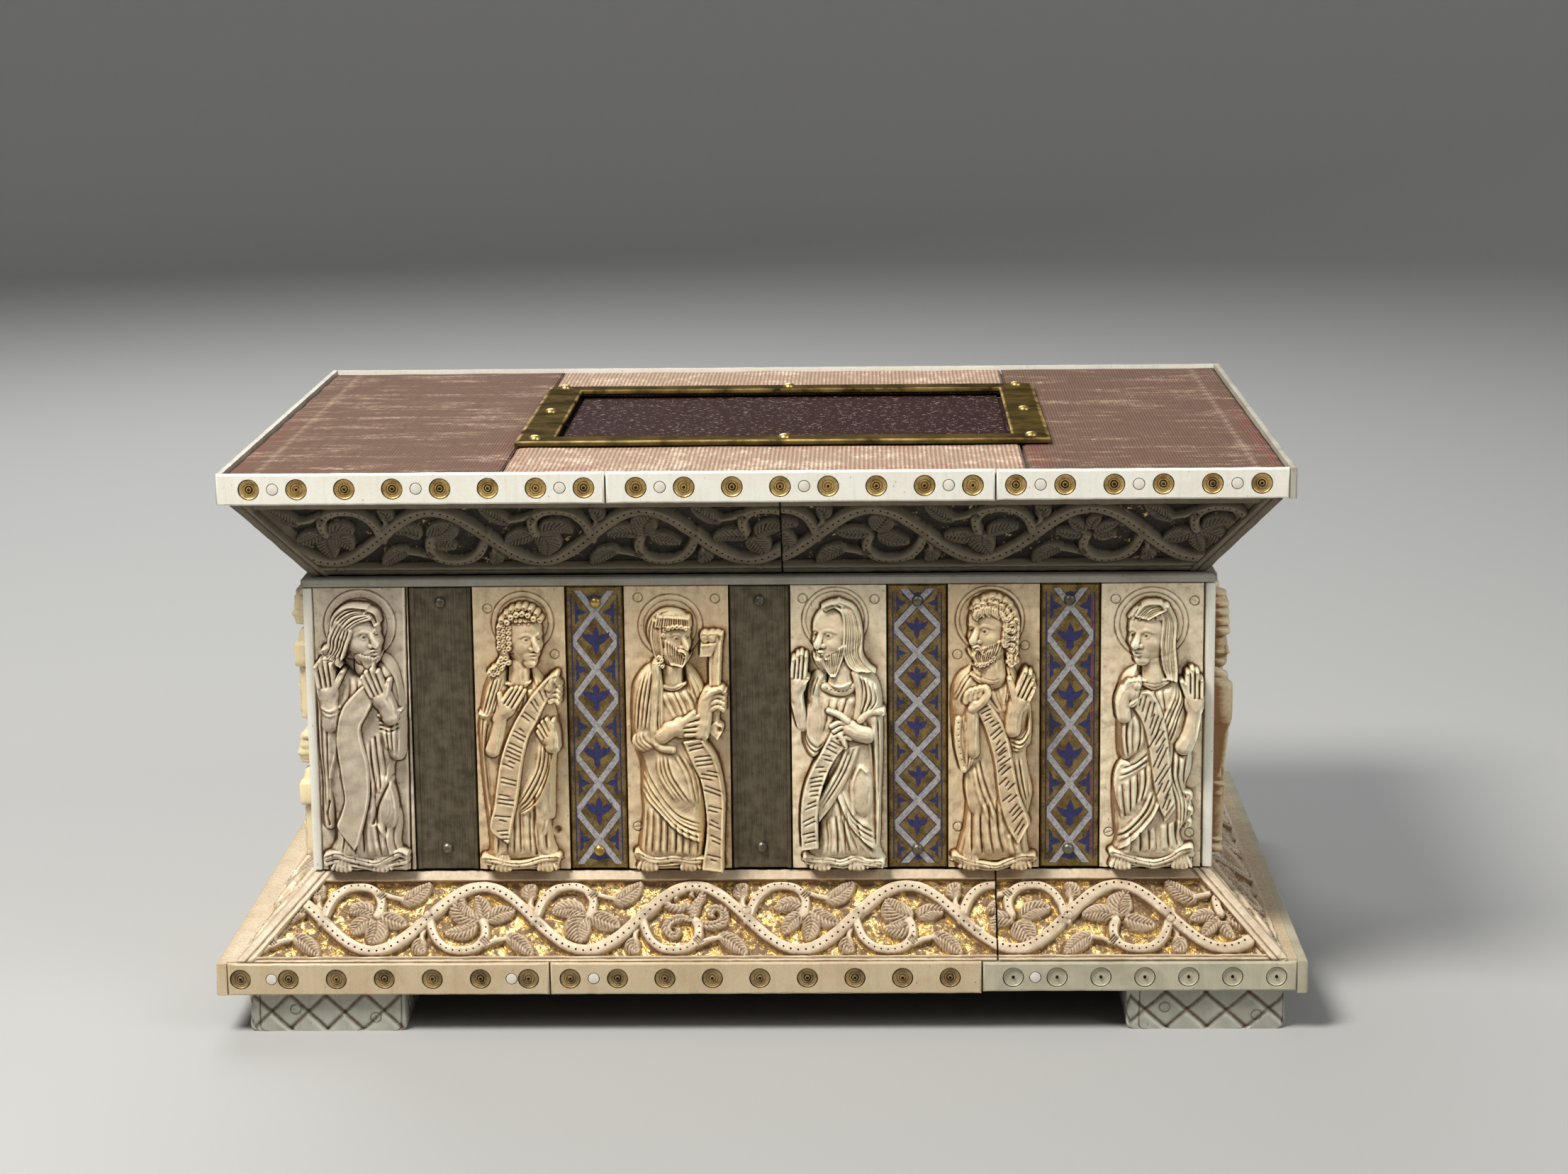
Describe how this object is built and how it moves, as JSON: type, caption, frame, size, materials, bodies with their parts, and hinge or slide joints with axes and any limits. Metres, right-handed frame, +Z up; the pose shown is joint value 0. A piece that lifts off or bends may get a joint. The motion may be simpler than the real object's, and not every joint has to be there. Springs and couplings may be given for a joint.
{
  "type": "portable altar",
  "caption": "Box-shaped portable altar with carved ivory figure plaques, enamel strips, vine-scroll mouldings, studded edges and a brass-framed stone set in a cloth-covered top.",
  "frame": {"origin": "on the floor plane under the feet, midway between the ends and between the front and the back", "axes": "+X along the front to the viewer's right, -Y out of the front, +Z up"},
  "size_m": [0.2802, 0.191, 0.1476],
  "materials": {
    "oak": "old dark oak, unvarnished",
    "ivory_feet": "pale greenish-white bone with brown cut lines",
    "ivory_edge": "polished ivory",
    "ivory_carved": "carved ivory, golden brown in its recesses",
    "ivory_gilded": "carved ivory with a gold-leaf ground and brown dirt",
    "enamel": "champleve enamel on gilt copper: blue leaves, white lattice",
    "grey_metal": "olive grey, brushed upright",
    "brass": "dark worn gilt brass",
    "porphyry": "polished purple-brown porphyry with pale flecks",
    "silk_rose": "worn brownish rose silk",
    "silk_pale": "ribbed pale pink silk with crimson remnants"
  },
  "bodies": {
    "root": {"plinth_core": "oak", "body_core": "oak", "top_core": "oak", "foot_front_left": "ivory_feet", "foot_front_right": "ivory_feet", "foot_back_left": "ivory_feet", "foot_back_right": "ivory_feet", "base_edge_front_1": "ivory_edge", "base_edge_front_2": "ivory_edge", "base_edge_front_3": "ivory_edge", "base_edge_back": "ivory_edge", "base_edge_left": "ivory_edge", "base_edge_right": "ivory_edge", "moulding_lower_front_1": "ivory_gilded", "moulding_lower_front_2": "ivory_gilded", "moulding_lower_back": "ivory_gilded", "moulding_lower_left": "ivory_gilded", "moulding_lower_right": "ivory_gilded", "plaque_front_1": "ivory_carved", "plaque_front_2": "ivory_carved", "plaque_front_3": "ivory_carved", "plaque_front_4": "ivory_carved", "plaque_front_5": "ivory_carved", "plaque_front_6": "ivory_carved", "plaque_back_1": "ivory_carved", "plaque_back_2": "ivory_carved", "plaque_back_3": "ivory_carved", "plaque_back_4": "ivory_carved", "plaque_back_5": "ivory_carved", "plaque_back_6": "ivory_carved", "plaque_left_lower": "ivory_carved", "plaque_left_upper": "ivory_carved", "plaque_right_1": "ivory_carved", "plaque_right_2": "ivory_carved", "plaque_right_3": "ivory_carved", "strip_enamel_1": "enamel", "strip_enamel_2": "enamel", "strip_enamel_3": "enamel", "strip_plain_1": "grey_metal", "strip_plain_2": "grey_metal", "neck_front": "ivory_edge", "neck_back": "ivory_edge", "neck_left": "ivory_edge", "neck_right": "ivory_edge", "moulding_upper_front_1": "ivory_gilded", "moulding_upper_front_2": "ivory_gilded", "moulding_upper_back": "ivory_gilded", "moulding_upper_left": "ivory_gilded", "moulding_upper_right": "ivory_gilded", "top_edge_front_1": "ivory_edge", "top_edge_front_2": "ivory_edge", "top_edge_front_3": "ivory_edge", "top_edge_back": "ivory_edge", "top_edge_left": "ivory_edge", "top_edge_right": "ivory_edge", "altar_stone": "porphyry", "stone_frame": "brass", "cloth_left": "silk_rose", "cloth_middle": "silk_pale", "cloth_right": "silk_rose"}
  },
  "joints": []
}
